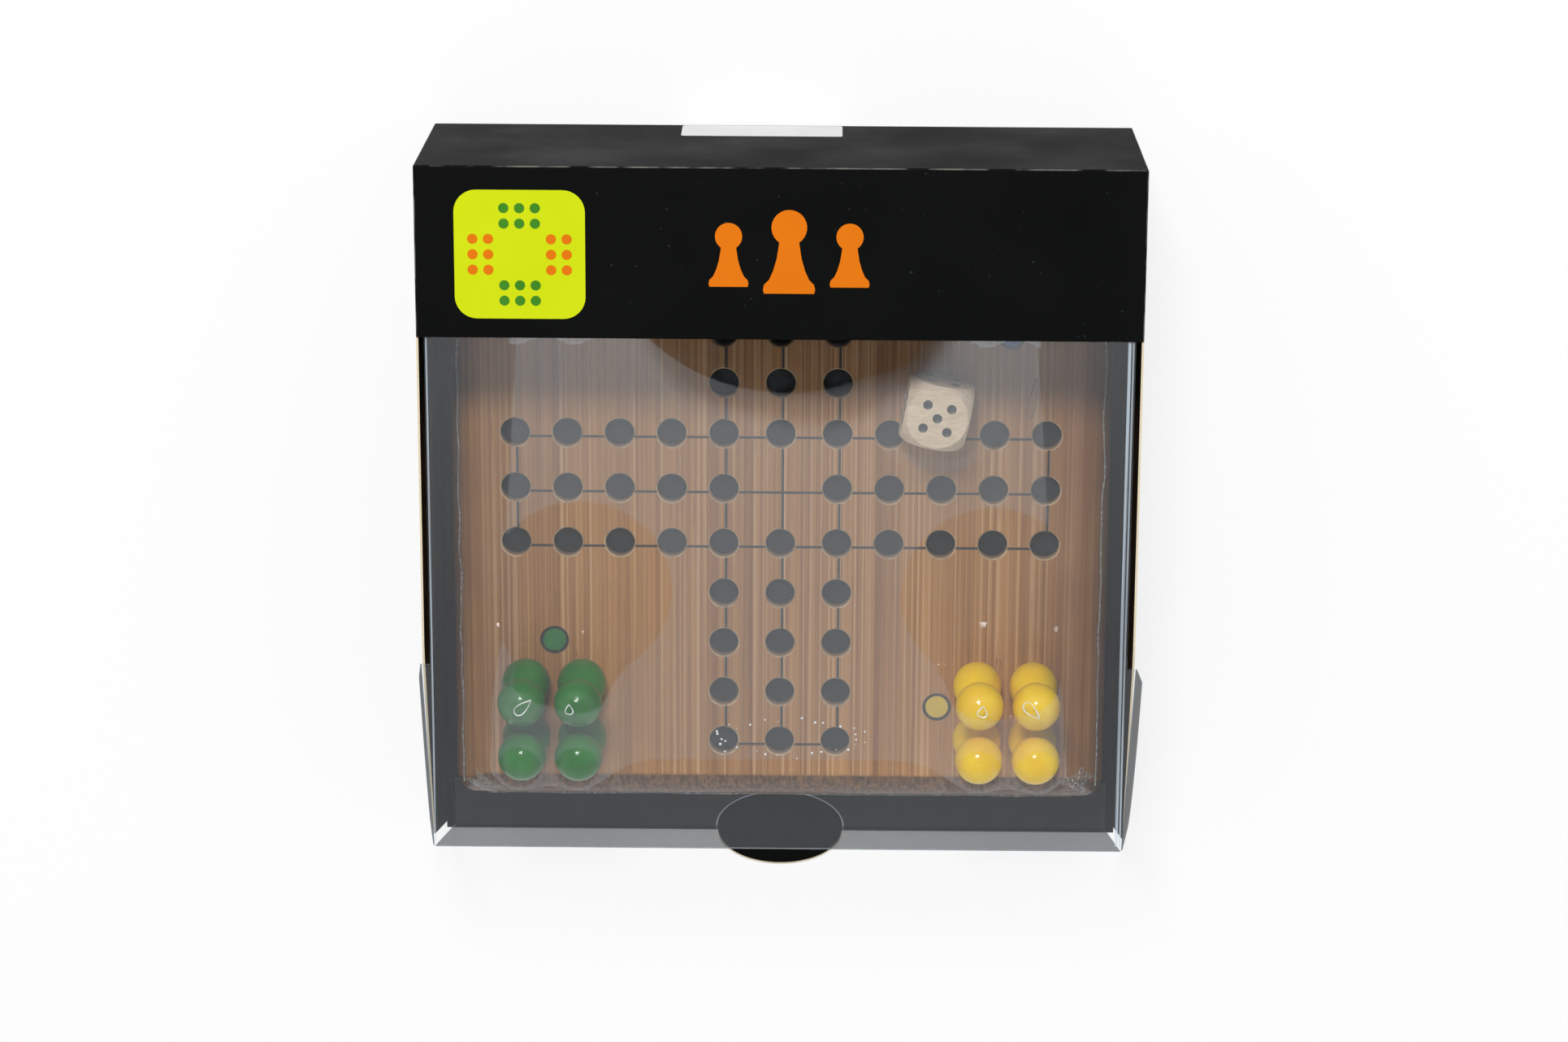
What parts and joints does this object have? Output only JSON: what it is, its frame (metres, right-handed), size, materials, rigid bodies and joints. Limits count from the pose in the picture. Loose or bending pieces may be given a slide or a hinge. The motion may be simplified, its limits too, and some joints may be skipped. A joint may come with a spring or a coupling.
{
  "type": "boxed ludo board game",
  "caption": "Ludo game in a black window carton: a bamboo peg board with lacquered pegs and a wooden die under film, closed by a clear slide-on cover with ears and an end flap.",
  "frame": {"origin": "on the underside of the carton, below the centre of the front face", "axes": "+X to the right of the front face, +Y to the closed end with the front band, +Z out of the window"},
  "size_m": [0.174, 0.183, 0.053],
  "materials": {
    "black_card": "satin print on card",
    "clear_sheet": "clear and glossy",
    "leaflet_paper": "matt",
    "bamboo": "oiled, with fine straight grain",
    "pale_wood": "plain sanded",
    "shrink_film": "clear film",
    "green_lacquer": "gloss lacquer",
    "yellow_lacquer": "gloss lacquer",
    "blue_lacquer": "gloss lacquer",
    "red_lacquer": "gloss lacquer"
  },
  "bodies": {
    "carton": {"carton": "black_card", "rules_leaflet": "leaflet_paper"},
    "cover": {"window_cover": "clear_sheet"},
    "flap": {"end_flap": "clear_sheet"},
    "left_ear": {"ear_left": "clear_sheet"},
    "right_ear": {"ear_right": "clear_sheet"},
    "tray": {"board": "bamboo", "shrink_film": "shrink_film"},
    "die": {"die": "pale_wood"},
    "green_peg_1": {"green_peg_1": "green_lacquer"},
    "green_peg_2": {"green_peg_2": "green_lacquer"},
    "green_peg_3": {"green_peg_3": "green_lacquer"},
    "green_peg_4": {"green_peg_4": "green_lacquer"},
    "yellow_peg_1": {"yellow_peg_1": "yellow_lacquer"},
    "yellow_peg_2": {"yellow_peg_2": "yellow_lacquer"},
    "yellow_peg_3": {"yellow_peg_3": "yellow_lacquer"},
    "yellow_peg_4": {"yellow_peg_4": "yellow_lacquer"},
    "blue_peg_1": {"blue_peg_1": "blue_lacquer"},
    "blue_peg_2": {"blue_peg_2": "blue_lacquer"},
    "blue_peg_3": {"blue_peg_3": "blue_lacquer"},
    "blue_peg_4": {"blue_peg_4": "blue_lacquer"},
    "red_peg_1": {"red_peg_1": "red_lacquer"},
    "red_peg_2": {"red_peg_2": "red_lacquer"},
    "red_peg_3": {"red_peg_3": "red_lacquer"},
    "red_peg_4": {"red_peg_4": "red_lacquer"}
  },
  "joints": [
    {"name": "cover_slide", "type": "slide", "parent": "carton", "child": "cover", "axis": [0, -1, 0], "range_m": [0, 0.18]},
    {"name": "end_flap_fold", "type": "hinge", "parent": "cover", "child": "flap", "pos_m": [0, -0.08, 0.052], "axis": [-1, 0, 0], "range_deg": [0, 95]},
    {"name": "left_ear_fold", "type": "hinge", "parent": "cover", "child": "left_ear", "pos_m": [-0.08175, -0.036, 0.052], "axis": [-0.0499, 0.9988, 0], "range_deg": [0, 90]},
    {"name": "right_ear_fold", "type": "hinge", "parent": "cover", "child": "right_ear", "pos_m": [0.08175, -0.036, 0.052], "axis": [-0.0499, -0.9988, 0], "range_deg": [0, 90]},
    {"name": "board_slide", "type": "slide", "parent": "carton", "child": "tray", "axis": [0, 1, 0], "range_m": [-0.001, 0.0035]},
    {"name": "die_lift", "type": "slide", "parent": "tray", "child": "die", "axis": [0, 0, 1], "range_m": [0, 0.0032]},
    {"name": "green_peg_1_lift", "type": "slide", "parent": "tray", "child": "green_peg_1", "axis": [0, 0, 1], "range_m": [0, 0.0032]},
    {"name": "green_peg_2_lift", "type": "slide", "parent": "tray", "child": "green_peg_2", "axis": [0, 0, 1], "range_m": [0, 0.0032]},
    {"name": "green_peg_3_lift", "type": "slide", "parent": "tray", "child": "green_peg_3", "axis": [0, 0, 1], "range_m": [0, 0.0032]},
    {"name": "green_peg_4_lift", "type": "slide", "parent": "tray", "child": "green_peg_4", "axis": [0, 0, 1], "range_m": [0, 0.0032]},
    {"name": "yellow_peg_1_lift", "type": "slide", "parent": "tray", "child": "yellow_peg_1", "axis": [0, 0, 1], "range_m": [0, 0.0032]},
    {"name": "yellow_peg_2_lift", "type": "slide", "parent": "tray", "child": "yellow_peg_2", "axis": [0, 0, 1], "range_m": [0, 0.0032]},
    {"name": "yellow_peg_3_lift", "type": "slide", "parent": "tray", "child": "yellow_peg_3", "axis": [0, 0, 1], "range_m": [0, 0.0032]},
    {"name": "yellow_peg_4_lift", "type": "slide", "parent": "tray", "child": "yellow_peg_4", "axis": [0, 0, 1], "range_m": [0, 0.0032]},
    {"name": "blue_peg_1_lift", "type": "slide", "parent": "tray", "child": "blue_peg_1", "axis": [0, 0, 1], "range_m": [0, 0.0032]},
    {"name": "blue_peg_2_lift", "type": "slide", "parent": "tray", "child": "blue_peg_2", "axis": [0, 0, 1], "range_m": [0, 0.0032]},
    {"name": "blue_peg_3_lift", "type": "slide", "parent": "tray", "child": "blue_peg_3", "axis": [0, 0, 1], "range_m": [0, 0.0032]},
    {"name": "blue_peg_4_lift", "type": "slide", "parent": "tray", "child": "blue_peg_4", "axis": [0, 0, 1], "range_m": [0, 0.0032]},
    {"name": "red_peg_1_lift", "type": "slide", "parent": "tray", "child": "red_peg_1", "axis": [0, 0, 1], "range_m": [0, 0.0032]},
    {"name": "red_peg_2_lift", "type": "slide", "parent": "tray", "child": "red_peg_2", "axis": [0, 0, 1], "range_m": [0, 0.0032]},
    {"name": "red_peg_3_lift", "type": "slide", "parent": "tray", "child": "red_peg_3", "axis": [0, 0, 1], "range_m": [0, 0.0032]},
    {"name": "red_peg_4_lift", "type": "slide", "parent": "tray", "child": "red_peg_4", "axis": [0, 0, 1], "range_m": [0, 0.0032]}
  ]
}
